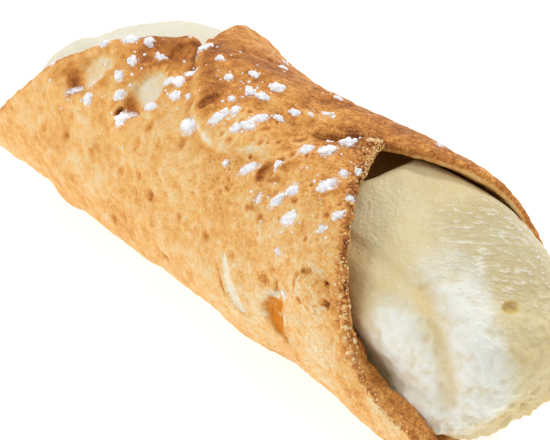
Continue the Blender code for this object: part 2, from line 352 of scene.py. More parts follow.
def beside(x, turn, places):
    """Distance from a line through (x, turn) places, its side (+1 or -1), and the share along it."""
    turn = turn_between(turn, 0)
    best, side, along = np.full(np.shape(x), 1e9), np.ones(np.shape(x)), np.zeros(np.shape(x))
    for number, ((x0, t0), (x1, t1)) in enumerate(zip(places, places[1:])):
        ax, ay = x - x0, (turn - t0) * ARC
        bx, by = x1 - x0, (t1 - t0) * ARC
        share = np.clip((ax * bx + ay * by) / (bx * bx + by * by), 0, 1)
        distance = np.hypot(ax - share * bx, ay - share * by)
        nearer = distance < best
        best = np.where(nearer, distance, best)
        side = np.where(nearer, np.sign(ay * bx - ax * by), side)
        along = np.where(nearer, (number + share) / (len(places) - 1), along)
    return best, side, along


def reach(x, turn, at_x, at_turn, half_length, half_width, lean=0):
    """Distance from a leaning spot's middle, 1 being its edge, and the place along its length."""
    away, up = x - at_x, -turn_between(turn, at_turn) * ARC
    angle = math.radians(lean)
    length = (away * math.cos(angle) + up * math.sin(angle)) / half_length
    width = (up * math.cos(angle) - away * math.sin(angle)) / half_width
    return np.hypot(length, width), length


def pebbles(place, spacing, shift):
    """Rounded grains: 1 in the middle of each and 0 between them."""
    flat = (place / spacing + shift).reshape(-1, 3).tolist()
    nearest = np.array([noise.voronoi(point)[0][0] for point in flat]).reshape(place.shape[:-1])
    return np.clip(1 - nearest * nearest * 3, 0, 1)


def crust_relief(x, turn, place):
    """The crust's relief in millimetres, how fried it is with painted shade and highlights, and where it is orange or
    crumbly.
    """
    broad = noise_at(place, 5.5, 1.7)
    wander = noise_at(place, 2.6, 7.3)
    soft = noise_at(place, 1.5, 5.9)
    fine = noise_at(place, 0.8, 3.1)
    grains = pebbles(place, 1.1, 4.2)
    steady = turn_between(turn, 0)
    height = 0.28 * broad + 0.22 * wander + 0.14 * soft + 0.05 * fine + 0.07 * grains
    fried = FRIED_FRONT + (FRIED_TOP - FRIED_FRONT) * ramp(*TOP_TURNS, steady) * ramp(-150, -120, steady)
    # Lower places browner and higher ones paler: partly frying, partly painted shade in dips and painted light on
    # bumps.
    fried = fried + 0.10 * noise_at(place, 9, 2.2) - 0.20 * height
    orange, crumbly = np.zeros(np.shape(x)), np.zeros(np.shape(x))

    for at_x, at_turn, half_length, half_width, change in BROWN:
        distance = reach(x, turn, at_x, at_turn, half_length, half_width)[0] * (1 + 0.25 * wander + 0.2 * broad)
        fried = fried + change * ramp(1.2, 0.2, distance)
    for at_x, at_turn in PITS:
        distance = reach(x, turn, at_x, at_turn, 0.8, 1.2)[0] * (1 + 0.2 * soft)
        height = height - PIT_DEPTH * mound(distance / 1.25) + 0.06 * mound((distance - 1.4) / 0.8)
        fried = fried + 0.22 * ramp(1.3, 0.1, distance)
    chance = np.random.default_rng(12)
    for _ in range(POCKS):
        (at_x, at_turn), size = (chance.uniform(*limits) for limits in POCK_LIMITS), chance.uniform(0.35, 0.85)
        distance = reach(x, turn, at_x, at_turn, size, size * chance.uniform(0.7, 1.3))[0] * (1 + 0.25 * soft)
        height = height - 0.14 * mound(distance) + 0.06 * mound((distance - 1.3) / 0.6)
        fried = fried + 0.24 * ramp(1.0, 0.2, distance) - 0.09 * mound((distance - 1.4) / 0.65)
    for at_x, at_turn, half_length, half_width, lean, depth, rim, floor, wall in CRATERS:
        distance, length = reach(x, turn, at_x, at_turn, half_length, half_width, lean)
        distance = distance * (1 + 0.20 * wander + 0.10 * soft)
        inside = ramp(1.05, 0.72, distance)
        height = height - depth * inside + rim * mound((distance - 1.18) / 0.4)
        # One end of each crater and its inner edge take the darker wall tone: painted shade on the wall turned from
        # the light.
        shaded_wall_share = ramp(-0.15, -0.75, length)
        tone = floor + (wall - floor) * np.maximum(shaded_wall_share, 0.45 * ramp(0.7, 0.95, distance)) + 0.05 * soft
        fried = fried + (tone - fried) * ramp(1.06, 0.9, distance)
        fried = fried + 0.05 * (rim > 0.15) * mound((distance - 1.25) / 0.35)
    for places, half, rise, change in FOLDS:
        distance, _, along = beside(x, turn, places)
        line = np.exp(-(distance / half * (1 + 0.35 * wander)) ** 2) * ramp(0, 0.15, along) * ramp(1, 0.85, along)
        line = line * np.clip(0.75 + 0.6 * soft, 0, 1)
        height = height + rise * line
        fried = fried + change * line

    distance, side, along = beside(x, turn, BUBBLE_EDGE)
    inward = -distance * side
    ends = ramp(0, 0.12, along) * ramp(1, 0.9, along)
    edge = ramp(-0.9, 0.7, inward + 0.5 * wander) * ramp(9, 1, inward)
    crease = np.exp(-((inward + 1.1 + 0.4 * wander) / 0.8) ** 2)
    height = height + ends * (BUBBLE_STEP * edge - 0.16 * crease)
    rim_light = np.exp(-((inward + 0.1 + 0.4 * wander) / 0.6) ** 2) * np.clip(0.75 + 0.8 * soft, 0, 1)
    height = height + ends * 0.2 * rim_light
    # Painted shade in the crease and just inside the edge, and a painted highlight along its lit rim.
    fried = fried + ends * (0.12 * crease - (0.16 + 0.12 * ramp(0.3, 0.6, along)) * rim_light)
    fried = fried + ends * 0.12 * ramp(0.3, 1.4, inward) * ramp(5, 2.5, inward) * ramp(0.65, 0.4, along)

    distance, _, along = beside(x, turn, SLIT)
    opened = ramp(1.15, 0.7, distance / (0.3 + 1.0 * np.sin(math.pi * along) ** 0.7) * (1 + 0.3 * soft))
    opened = opened * ramp(0, 0.03, along) * ramp(1, 0.97, along)
    height = height - 0.3 * opened
    fried = fried + (0.04 - fried) * opened

    middle, half = curve(HOLLOW_MIDDLE, steady), curve(HOLLOW_HALF, steady)
    there = (steady > 72) & (steady < 106)
    distance = np.where(there, np.abs(x - middle) / half, 9) * (1 + 0.35 * wander + 0.25 * fine)
    inside = ramp(1.1, 0.6, distance)
    height = height - 0.6 * inside
    orange = np.maximum(orange, ramp(1.05, 0.75, distance) * ramp(80, 88, steady))
    # Browner towards the hollow's upper end: painted shade.
    fried = fried + 0.16 * inside * ramp(86, 76, steady)
    for at_x, at_turn, size, tone in ((18.6, 87, 1.5, 0.16), (23.4, 80, 1.2, 0.06), (22.6, 103, 1.3, 0.03),
                                      (24.3, 92, 0.8, 0.15), (18.2, 98, 1.0, 0.18)):
        spot = ramp(1.1, 0.5, reach(x, turn, at_x, at_turn, size, size)[0] * (1 + 0.4 * soft + 0.3 * fine))
        fried = fried + (tone - fried) * spot * (1 - inside)

    spot = ramp(1.1, 0.6, reach(x, turn, 20.2, 84, 1.5, 1.2)[0] * (1 + 0.3 * soft + 0.3 * fine))
    fried = fried + (0.08 - fried) * spot
    orange = orange * (1 - spot)

    distance = reach(x, turn, *CRACKED)[0] * (1 + 0.15 * wander + 0.1 * soft)
    ring = np.exp(-((distance - 1) / 0.2) ** 2)
    crumbly = np.maximum(crumbly, np.maximum(ring, 0.7 * ramp(1.1, 0.8, distance)))
    height = height + 0.2 * ramp(1, 0.6, distance) - 0.3 * ring * ramp(-0.1, 0.15, soft)
    fried = fried + 0.5 * ring * ramp(-0.1, 0.2, soft) - 0.12 * ring * (soft < -0.1)

    for at_x, at_turn, half_length, half_width, share in CRUMBLY:
        distance = reach(x, turn, at_x, at_turn, half_length, half_width)[0] * (1 + 0.3 * wander)
        crumbly = np.maximum(crumbly, share * ramp(1.1, 0.6, distance))
    return height, fried, orange, crumbly, fine, grains


def dusting(x, turn, place):
    """How thickly fine sugar lies on the crust."""
    dust = np.zeros(np.shape(x))
    wander = noise_at(place, 3.0, 8.4)
    for at_x, at_turn, half_length, half_width, share in DUSTED:
        distance = reach(x, turn, at_x, at_turn, half_length, half_width)[0]
        dust = np.maximum(dust, share * ramp(1.1, 0.3, distance) * (1 + wander))
    for at_x, at_turn, length, width, lean in SUGAR:
        distance = reach(x, turn, at_x, at_turn, length / 2, width / 2, lean)[0]
        dust = np.maximum(dust, 0.55 * ramp(2.6, 0.6, distance + 0.4 * wander))
    return dust


def make_mesh_object(name, points, faces, attributes=None):
    """A smooth-shaded object from points in metres and faces, with float attributes."""
    mesh = bpy.data.meshes.new(name)
    mesh.from_pydata(points.tolist(), [], faces)
    mesh.shade_smooth()
    for key, values in (attributes or {}).items():
        mesh.attributes.new(key, "FLOAT", "POINT").data.foreach_set("value", np.asarray(values, np.float32))
    made = bpy.data.objects.new(name, mesh)
    bpy.context.scene.collection.objects.link(made)
    return made


def surface_normals(points, outwards):
    """Unit normals of a grid of points, on the side of the given directions."""
    across = np.gradient(points, axis=1)
    down = np.gradient(points, axis=0)
    normals = np.cross(across, down)
    normals /= np.linalg.norm(normals, axis=-1, keepdims=True) + 1e-12
    return normals * np.sign((normals * outwards).sum(-1, keepdims=True).mean() or 1)


def lip_roll(turn, near_distance):
    """How much thicker the dough grows inwards near the near rim."""
    steady = turn_between(turn, 0)
    lengthways = ramp(*LIP_FROM_RIM, near_distance) * ramp(*LIP_TO_RIM, near_distance)
    thicker = 0
    for (start, full, fading, end), change in LIP_ROLLS:
        thicker = thicker + change * ramp(start, full, steady) * ramp(end, fading, steady)
    return thicker * lengthways


def crust_arrays():
    """Outer and inner points of the dough on one grid, and the attributes of both."""
    nominal = spaced(SEALED_WRAP * ARC, CRUST_COLUMNS)[:, 0] / ARC
    length = curve(NEAR_RIM, nominal) - curve(FAR_RIM, nominal)
    from_far = spaced(length, CRUST_ROWS)
    along = from_far / length
    moves = ramp(200, SEALED_WRAP - EDGE_STEPS[-1] / ARC, nominal)[None, :]
    wrap = nominal[None, :] + (wrap_end(along) - SEALED_WRAP) * moves
    rim_distance = np.minimum(from_far, length - from_far)
    near_distance = length - from_far
    edge_distance = np.minimum(nominal, SEALED_WRAP - nominal)[None, :] * ARC + 0 * along

    x, turn, radius, thickness = sheet(along, wrap)
    place = on_tube(x, turn, TUBE_RADIUS + 0 * x)
    place[..., 1] += (wrap > 200) * 40.0                 # the two layers don't repeat each other
    middle = on_tube(x, turn, radius)
    middle[..., 2] = np.maximum(middle[..., 2], thickness / 2)
    ragged = 0.55 * noise_at(place, 2.2, 4.4) + 0.28 * noise_at(place, 0.8, 9.1)
    middle[..., 0] += ragged * ramp(6, 0, rim_distance) * np.where(near_distance < 20, 1, 0.8)
    angle = np.radians(turn)
    radial = np.stack([0 * x, -np.sin(angle), np.cos(angle)], -1)
    normals = surface_normals(middle, radial)

    half = thickness / 2
    round_rim = np.sqrt(1 - (1 - np.clip(rim_distance / half, 0, 1)) ** 2)
    round_edge = np.sqrt(1 - (1 - np.clip(edge_distance / half, 0, 1)) ** 2)
    proud = half * round_rim * round_edge
    fade = ramp(0, 0.9, np.minimum(rim_distance, edge_distance))

    height, fried, orange, crumbly, fine, grains = crust_relief(x, turn, place)
    flap = ramp(300, 345, wrap)
    side_turn = turn_between(turn, 0)
    bottom_lip = ramp(85, 100, side_turn) * (wrap > 180)
    back_lip = ramp(-80, -60, side_turn) * ramp(-15, -30, side_turn) * ramp(6, 3, near_distance)
    finest = noise_at(place, 0.45, 8.8)
    crumbly = np.maximum(crumbly, ramp(3.2, 0.5, near_distance) * np.maximum(flap, 0.3))
    browned = 0.17 * ramp(3.5, 0.3, near_distance) * flap * (1 - bottom_lip)
    browned = browned + (0.10 + 0.06 * flap - 0.14 * back_lip) * ramp(1.2, 0.2, rim_distance)
    fried = fried + browned * (1 + 0.5 * noise_at(place, 1.8, 2.9))
    crest = ramp(9.0, 3.0, near_distance) * ramp(0.5, 1.1, near_distance) * bottom_lip
    fried = fried - 0.20 * crest * np.clip(0.6 + noise_at(place, 1.6, 5.1), 0, 1)
    fried = fried + 0.12 * bottom_lip * ramp(0.7, 0.2, near_distance)
    orange = np.maximum(orange, 0.8 * crest * ramp(0.15, 0.4, noise_at(place, 3.2, 6.4)))
    height = height + crumbly * (0.22 * fine + 0.16 * finest + 0.12 * grains)
    own = TUBE_RADIUS + INNER_DIP * ramp(*DIP_ENDS, wrap)
    fill = (SEAM_FILL - own) * ramp(*SEAM_FILL_ENDS, HIDDEN_EDGE_TURN - wrap)
    fill = fill * ramp(14, 11, HIDDEN_EDGE_TURN - wrap)
    height = height + np.maximum(fill, 0) * (wrap < 80) * ramp(SEAM_OPENS[1], SEAM_OPENS[0], x)

    outer = middle + normals * (proud + height * fade)[..., None]
    inner_height = 0.14 * noise_at(place, 4.0, 6.6) + 0.12 * noise_at(place, 1.3, 2.2) + 0.08 * fine
    roll = lip_roll(turn, near_distance) * (1 + 0.3 * noise_at(place, 2.0, 1.1))
    inner = middle - normals * (proud + inner_height * fade + roll)[..., None]
    outer[..., 2] = np.maximum(outer[..., 2], 0)
    face = ramp(1.0, 0.1, rim_distance)
    inner_fried = 0.56 + 0.10 * noise_at(place, 2.5, 7.7) + 0.04 * noise_at(place, 0.9, 3.9) - 0.06 * face
    # The back lip's inner face is paler: painted light.
    inner_fried = inner_fried + 0.02 * bottom_lip - 0.16 * back_lip
    dust = dusting(x, turn, place) * (wrap > 60)
    outer_marks = {"fried": fried, "orange": orange, "crumbly": crumbly * (0.55 + 0.45 * grains), "dusted": dust}
    inner_marks = {"fried": inner_fried, "orange": 0 * orange, "crumbly": 0.12 * ramp(5, 1, near_distance),
                   "dusted": 0 * dust}
    return outer, inner, outer_marks, inner_marks


def make_crust(slide):
    """The fried dough as one closed skin: a fine outer face, and an inner one with fewer rows."""
    outer, inner, outer_marks, inner_marks = crust_arrays()
    rows, columns = outer.shape[:2]
    outer_index = np.arange(rows * columns).reshape(rows, columns)
    far, near = INNER_MARGINS
    kept = [*range(far), *range(far, rows - near, INNER_STEP), *range(rows - near, rows)]
    within = kept[1:-1]
    inner_index = outer_index.copy()
    inner_index[within, 1:-1] = rows * columns + np.arange(len(within) * (columns - 2)).reshape(len(within), -1)

    def quads(index):
        a, b, c, d = index[:-1, :-1], index[:-1, 1:], index[1:, 1:], index[1:, :-1]
        return np.stack([a, b, c, d], -1).reshape(-1, 4)

    faces = quads(outer_index)[:, ::-1].tolist()
    for first, last in zip(kept, kept[1:]):
        row = quads(inner_index[[first, last]]).tolist()
        row[0] += outer_index[first + 1:last, 0][::-1].tolist()
        row[-1][2:2] = outer_index[first + 1:last, -1].tolist()
        faces += row
    points = np.concatenate([outer.reshape(-1, 3), inner[within, 1:-1].reshape(-1, 3)])
    marks = {key: np.concatenate([outer_marks[key].ravel(), inner_marks[key][within, 1:-1].ravel()])
             for key in outer_marks}
    return make_mesh_object("crust", (points + slide) * MM, faces, marks)


# The cream's relief and colour. Places are points of the tube's frame.
GROOVE = ((43.5, -8.2, 31), (46.5, -9.6, 29.6), (49.2, -10.3, 28.2), (50.8, -10.8, 27), (52.7, -11.6, 24.3),
          (53.7, -12.2, 21.5), (54.3, -12.6, 18.2))
WHITE_BAND = ((42.5, -2.5, 32.4), (47.5, -4.6, 31), (53, -7.3, 28.2), (56.7, -8.6, 23.6), (58, -8.3, 18.8))
WHITE_SIDE = ((44, -14.8, 24.5), (47.3, -14.7, 22.5), (50.7, -14.3, 18.5), (53.5, -13, 14.5))
CREAM_PIT = (53.9, 0.3, 29.3)
STROKE = (0.62, 0.78, 0)             # the way of the knife's strokes and of the pit's longer side
PIT_UP = (-0.45, 0.35, 0.82)
PIT_OUT = (0.64, -0.51, 0.57)
WET = (44, 8, 31)          # middle of the glistening upper side, also where painted glint streaks go
CREAM_DIPS = (             # where the cream sinks: middle, reach, depth
    ((12, 3, 36), 11.5, 7.5),
    ((14, 9, 35), 7.5, 5.0),
    ((22, 1, 35), 8, -1.4),
    ((-46, -11, 31), 9, -1.2),
    ((-44, 1, 36), 12, 1.0),
    ((42, -15, 12), 10, 1.2),
    ((59, -2, 11.5), 8, 1.4),
)
CREAM_COLUMNS = 300
NEAR_RINGS = 170
BODY_RINGS = 24
FAR_RINGS = 60


def along_line(points, places):
    """How far points lie from a line through given places."""
    best = np.full(points.shape[:-1], 1e9)
    for start, end in zip(np.array(places[:-1], float), np.array(places[1:], float)):
        run = end - start
        share = np.clip(((points - start) @ run) / (run @ run), 0, 1)
        best = np.minimum(best, np.linalg.norm(points - start - share[..., None] * run, axis=-1))
    return best


def cream_radius(x, turn):
    dip_start, dip_end = (HIDDEN_EDGE_TURN - wrap for wrap in DIP_ENDS)
    covered = ramp(dip_end, dip_start, turn) * ramp(HIDDEN_EDGE_TURN + 18, HIDDEN_EDGE_TURN + 4, turn)
    wall = TUBE_RADIUS - DOUGH / 2 + flare(x, turn) - INNER_DIP * covered
    roll = lip_roll(turn, curve(NEAR_RIM, (HIDDEN_EDGE_TURN - turn) % 360) - x)
    return wall - roll + HOLLOW_CLEARANCE * np.minimum(blistering(x, turn), 0) - CREAM_GAP


def dome_points(turn, lean, line, dome):
    """Points of a dome: lean runs from 0, where it leaves the wall, to a quarter turn at its tip."""
    turn, lean, line = np.broadcast_arrays(turn, lean, line)
    tipwards = np.sin(lean) ** 2
    foot = cream_radius(line, turn) * (1 - tipwards) + DOME_RADIUS * tipwards
    x = line + (dome["tip"] - line) * np.sin(lean)
    points = on_tube(x, turn, foot * np.cos(lean) ** dome["slope"])
    points[..., 2] += dome["rise"] * tipwards
    return points


def cream_relief(points):
    """Height in millimetres, how white, yellow and wet the cream is, and its painted shade by the rim; the groove's
    yellow is painted shade, and wet places get painted glints.
    """
    broad = noise_at(points, 6.0, 3.3)
    wander = noise_at(points, 2.8, 1.2)
    small = noise_at(points, 1.3, 6.1)
    tiny = noise_at(points, 0.7, 2.6)
    groove = along_line(points, GROOVE) * (1 + 0.25 * wander + 0.15 * small)
    band = along_line(points, WHITE_BAND) * (1 + 0.25 * wander + 0.15 * broad)
    side = along_line(points, WHITE_SIDE) * (1 + 0.2 * wander)
    height = 0.30 * broad + 0.12 * wander + 0.04 * small
    height = height - 0.75 * np.exp(-(groove / 2.3) ** 2)
    height = height + 0.55 * np.exp(-(band / 4.2) ** 2) + 0.3 * np.exp(-(side / 5) ** 2)
    low = ramp(21, 14, points[..., 2]) * ramp(50, 56, points[..., 0])
    height = height + low * (0.5 * wander + 0.4 * small + 0.15 * tiny)
    clotted = ramp(33, 26, points[..., 2])
    height = height + clotted * (0.20 * wander + 0.22 * small + 0.10 * tiny)
    offset = (points - np.array(CREAM_PIT)) @ np.array((STROKE, PIT_UP, PIT_OUT)).T
    pit = np.linalg.norm(offset * np.array((1 / 1.45, 1 / 1.05, 0.3)), axis=-1) * (1 + 0.1 * small)
    height = height - 0.8 * ramp(1.05, 0.4, pit)
    high = points[..., 2]
    white = np.maximum(ramp(6.2, 2.6, band) * ramp(34.5, 30, high), 0.9 * ramp(8.5, 3, side))
    white = np.clip(white * (1 + 0.4 * wander + 0.45 * small + 0.2 * tiny), 0, 1)
    white = np.maximum(white, 0.6 * ramp(0, -20, points[..., 0]))
    # The groove's yellow is painted shade along the valley; the pit and the low ragged part are yellow.
    yellow_and_groove_shade = 0.55 * ramp(2.8, 0.3, groove) + 2.0 * ramp(1.1, 0.8, pit)
    yellow_and_groove_shade = yellow_and_groove_shade + 0.5 * low * ramp(0.05, 0.35, small)
    wet_and_painted_glints = ramp(16, 6, np.linalg.norm(points - np.array(WET), axis=-1))
    turn = np.degrees(np.arctan2(-points[..., 1], points[..., 2] - AXIS_HEIGHT))
    from_rim = points[..., 0] - curve(NEAR_RIM, (HIDDEN_EDGE_TURN - turn) % 360)
    # Painted warm shade on the cream next to the near rim and over its top left.
    painted_rim_shade = ramp(6.5, -1.5, from_rim + 0.8 * wander) * ramp(-12, 4, turn) * ramp(80, 62, turn)
    painted_rim_shade = np.maximum(painted_rim_shade, 0.3 * ramp(15, 3, from_rim) * ramp(-25, -5, turn) * ramp(60, 30, turn))
    # Painted shade where the cream sinks into the hollow under the flap's corner.
    painted_rim_shade = np.maximum(painted_rim_shade, 1.6 * ramp(0.6, 3, cream_sinking(points)))
    painted_rim_shade = painted_rim_shade * (points[..., 0] > 0)
    # Yellower and less white low on the back side.
    low_back_yellowing = ramp(-7, 2, points[..., 1]) * ramp(30, 22, points[..., 2]) * (points[..., 0] > 0)
    low_back_yellowing = low_back_yellowing * np.clip(0.7 + 0.8 * wander, 0, 1)
    yellow_and_groove_shade, white = yellow_and_groove_shade + 0.22 * low_back_yellowing, white * (1 - 0.65 * low_back_yellowing)
    return height, white * np.clip(1 - painted_rim_shade, 0, 1), np.clip(yellow_and_groove_shade, 0, 1), wet_and_painted_glints, painted_rim_shade


def cream_sinking(points):
    depth = 0
    for middle, far, deepest in CREAM_DIPS:
        depth = depth + deepest * mound(np.linalg.norm(points - np.array(middle), axis=-1) / far)
    return depth


def make_cream(slide):
    """The filling: two domes and the run between them, as rings from the far tip to the near."""
    turn = np.linspace(-180, 180, CREAM_COLUMNS, endpoint=False)
    near, far = curve(NEAR_CREAM_LINE, turn), curve(FAR_CREAM_LINE, turn)
    near_lean = np.linspace(0, 1, NEAR_RINGS + 1)[:-1] * math.pi / 2
    far_lean = np.linspace(1, 0, FAR_RINGS + 1)[1:] * math.pi / 2
    body = np.linspace(0, 1, BODY_RINGS + 2)[1:-1, None]
    around = turn[None, :]
    x = far + (near - far) * body
    parts = [dome_points(around, far_lean[:, None], far[None, :], FAR_DOME),
             on_tube(x, around + 0 * x, cream_radius(x, around + 0 * x)),
             dome_points(around, near_lean[:, None], near[None, :], NEAR_DOME)]
    points = np.concatenate(parts)
    points[..., 2] = np.maximum(points[..., 2], DOUGH + LAYER_GAP)
    wrapped = np.concatenate([points[:, -1:], points, points[:, :1]], 1)
    outwards = points - np.array((0, 0, AXIS_HEIGHT))
    outwards[..., 0] *= 0.3
    normals = surface_normals(wrapped, np.concatenate([outwards[:, -1:], outwards, outwards[:, :1]], 1))[:, 1:-1]
    height, white, yellow_and_groove_shade, wet_and_painted_glints, painted_rim_shade = cream_relief(points)
    shown = np.concatenate([np.ones(FAR_RINGS), np.zeros(BODY_RINGS), np.ones(NEAR_RINGS)])[:, None]
    shown = shown * np.concatenate([ramp(0, 0.35, far_lean), np.zeros(BODY_RINGS), ramp(0, 0.2, near_lean)])[:, None]
    points = points + normals * (height * shown - cream_sinking(points))[..., None]

    rings, columns = points.shape[:2]
    index = np.arange(rings * columns).reshape(rings, columns)
    beyond = np.roll(index, -1, axis=1)
    sides = np.stack([index[:-1], beyond[:-1], beyond[1:], index[1:]], -1).reshape(-1, 4).tolist()
    tips = np.array([points[0].mean(0), points[-1].mean(0)])
    far_tip, near_tip = rings * columns, rings * columns + 1
    caps = [[far_tip, b, a] for a, b in zip(index[0].tolist(), beyond[0].tolist())]
    caps += [[near_tip, a, b] for a, b in zip(index[-1].tolist(), beyond[-1].tolist())]
    all_points = np.concatenate([points.reshape(-1, 3), tips])
    marks = {name: np.append(values.ravel(), [values[0].mean(), values[-1].mean()]) for name, values in
             (("white", white), ("yellow_and_groove_shade", yellow_and_groove_shade), ("wet_and_painted_glints", wet_and_painted_glints), ("painted_rim_shade", painted_rim_shade))}
    faces = [face[::-1] for face in sides + caps]
    return make_mesh_object("cream", (all_points + slide) * MM, faces, marks)


# What is strewn on the crust: lumps and grains of sugar, and crumbs along the near rim.
def ball(detail):
    shape = bmesh.new()
    bmesh.ops.create_icosphere(shape, subdivisions=detail, radius=1)
    points = np.array([corner.co for corner in shape.verts])
    faces = np.array([[corner.index for corner in face.verts] for face in shape.faces])
    shape.free()
    return points, faces


def make_blobs(name, blobs):
    """One mesh of rough lumps, each with its place, axes, half sizes, fineness and fried share."""
    balls = {detail: ball(detail) for detail in (1, 2, 3)}
    all_points, all_faces, fried, count = [], [], [], 0
    for number, (place, axes, sizes, detail, tone) in enumerate(blobs):
        points, faces = balls[detail]
        rough = 1 + 0.36 * noise_at(points, 0.8, 1.37 * number) + 0.24 * noise_at(points, 0.35, 2.11 * number)
        all_points.append(place + (points * rough[:, None] * sizes) @ axes * MM)
        all_faces.append(faces + count)
        fried.append(np.full(len(points), tone))
        count += len(points)
    return make_mesh_object(name, np.concatenate(all_points), np.concatenate(all_faces).tolist(),
                            {"fried": np.concatenate(fried)})


def axes_at(turn, normal, lean):
    """Rows: along a lump, across it, and out of the surface."""
    angle, lean = math.radians(turn), math.radians(lean)
    along = Vector((math.cos(lean), math.sin(lean) * math.cos(angle), math.sin(lean) * math.sin(angle)))
    across = normal.cross(along).normalized()
    return np.array((across.cross(normal), across, normal))


def surface_of(piece):
    corners = [corner.co for corner in piece.data.vertices]
    return BVHTree.FromPolygons(corners, [face.vertices for face in piece.data.polygons])


def fall(surface, slide, x, turn):
    """Where something dropped straight at the tube's axis meets the crust, and the normal there."""
    start = (on_tube(x, turn, 40) + slide) * MM
    angle = math.radians(turn)
    place, normal, _, _ = surface.ray_cast(Vector(start), Vector((0, math.sin(angle), -math.cos(angle))))
    return place, normal


def make_sugar(surface, slide):
    chance = np.random.default_rng(4)
    blobs = []

    def drop(x, turn, long_half, wide_half, high_half, lean):
        place, normal = fall(surface, slide, x, turn)
        if place is not None:
            sunk = np.array(place) + np.array(normal) * high_half * 0.15 * MM
            detail = 3 if wide_half > 0.55 else 2 if wide_half > 0.25 else 1
            blobs.append((sunk, axes_at(turn, normal, lean), (long_half, wide_half, high_half), detail, 0))

    for x, turn, length, width, lean in SUGAR:
        drop(x, turn, 0.42 * length, 0.44 * width, 0.20 * width, lean)
        for _ in range(round(3 + 1.6 * length * width)):
            way, out = chance.uniform(0, 2 * math.pi), math.sqrt(chance.uniform(0.05, 1))
            along, across = 0.46 * length * out * math.cos(way), 0.46 * width * out * math.sin(way)
            angle = math.radians(lean)
            away = along * math.cos(angle) - across * math.sin(angle)
            up = along * math.sin(angle) + across * math.cos(angle)
            half = chance.uniform(0.2, 0.38) * (1.15 - 0.4 * out) * min(width, 1.6)
            drop(x + away, turn - up / ARC, half, half * 0.9, half * 0.65, chance.uniform(0, 180))
    for _ in range(SUGAR_GRAINS):
        x, turn, length, width, lean = SUGAR[chance.integers(len(SUGAR))]
        spread = chance.normal(0, 1, 2) * (0.9 + 0.4 * length)
        half = chance.uniform(0.1, 0.26)
        drop(x + spread[0], turn + spread[1] / ARC, half * 1.2, half, half * 0.8, chance.uniform(0, 180))
    return make_blobs("sugar", blobs)


def make_rim_crumbs(surface, slide):
    """Crumbs of burst dough, on the near rim's outer edge and on its face."""
    chance = np.random.default_rng(9)
    blobs = []
    for x, turn, half in PALE_CRUMBS:
        place, normal = fall(surface, slide, x, turn)
        blobs.append((np.array(place), axes_at(turn, normal, 20), (half * 1.4, half, half * 0.8), 2, 0.26))
    for _ in range(RIM_CRUMBS):
        wrap = chance.choice((chance.uniform(285, 402), chance.uniform(286, 345), chance.uniform(380, 402)))
        turn = HIDDEN_EDGE_TURN - wrap
        big = 1 + 0.5 * float(ramp(286, 300, wrap) * ramp(350, 330, wrap))
        half = chance.uniform(0.08, 0.24) * (big if chance.uniform() < 0.5 else 1)
        rim_x = float(curve(NEAR_RIM, wrap))
        on_face = chance.uniform() < 0.45
        if on_face:
            x, _, radius, thickness = sheet(np.array(1.0), np.array(wrap))
            out = float(radius + thickness * chance.uniform(-0.45, 0.55))
            start = (on_tube(rim_x + 6, turn, out) + slide) * MM
            place, normal, _, _ = surface.ray_cast(Vector(start), Vector((-1, 0, 0)), 0.009)
        else:
            place, normal = fall(surface, slide, rim_x - abs(chance.normal(0, 1.2)), turn)
        if place is None:
            continue
        axes = axes_at(turn, normal, chance.uniform(0, 180))
        sizes = (half * chance.uniform(0.9, 1.5), half, half * chance.uniform(0.6, 0.95))
        tone = chance.choice((0.22, 0.36, 0.48, 0.58, 0.66), p=(0.15, 0.25, 0.25, 0.2, 0.15))
        blobs.append((np.array(place), axes, sizes, 2 if half > 0.3 else 1, tone))
    return make_blobs("rim-crumbs", blobs)


def frame_slide():
    """From the tube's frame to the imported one: the dough's far and side limits meet the solid's."""
    along, wrap = np.meshgrid(np.linspace(0, 1, 41), np.linspace(0, 1, 181), indexing="ij")
    wrap = wrap * wrap_end(along)
    x, turn, radius, thickness = sheet(along, wrap)
    points = on_tube(x, turn, radius + thickness / 2)
    low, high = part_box("shell")
    slide_x = low.x / MM - points[..., 0].min()
    slide_y = (low.y + high.y) / 2 / MM - (points[..., 1].min() + points[..., 1].max()) / 2
    return np.array((slide_x, slide_y, 0))


# Materials.
def add(tree, kind, inputs=None, **settings):
    """A shader node with its settings, and inputs that are values or other nodes' outputs."""
    node = tree.nodes.new(kind)
    for key, value in settings.items():
        setattr(node, key, value)
    for key, value in (inputs or {}).items():
        if isinstance(value, bpy.types.NodeSocket):
            tree.links.new(value, node.inputs[key])
        else:
            node.inputs[key].default_value = value
    return node


def mark(tree, name):
    return add(tree, "ShaderNodeAttribute", attribute_name=name).outputs["Fac"]


def blend_colours(tree, share, first, second, how="MIX"):
    """The mix of two colours, each a socket or a linear RGB."""
    def full(colour):
        return colour if isinstance(colour, bpy.types.NodeSocket) else (*colour, 1)
    return add(tree, "ShaderNodeMix", {0: share, 6: full(first), 7: full(second)},
               data_type="RGBA", blend_type=how).outputs[2]


def noise_node(tree, coordinates, scale, detail=3.0, roughness=0.55):
    return add(tree, "ShaderNodeTexNoise", {"Vector": coordinates, "Scale": scale, "Detail": detail,
                                            "Roughness": roughness}).outputs["Fac"]


def between(tree, value, low, high):
    """Stretch a value so that low becomes 0 and high becomes 1, smoothly."""
    return add(tree, "ShaderNodeMapRange", {"Value": value, "From Min": low, "From Max": high},
               interpolation_type="SMOOTHSTEP").outputs["Result"]


def combine(tree, operation, first, second):
    return add(tree, "ShaderNodeMath", {0: first, 1: second}, operation=operation, use_clamp=True).outputs[0]


def start_material(name):
    material = bpy.data.materials.new(name)
    material.use_nodes = True
    tree = material.node_tree
    coordinates = add(tree, "ShaderNodeTexCoord").outputs["Object"]
    return material, tree, tree.nodes["Principled BSDF"], coordinates


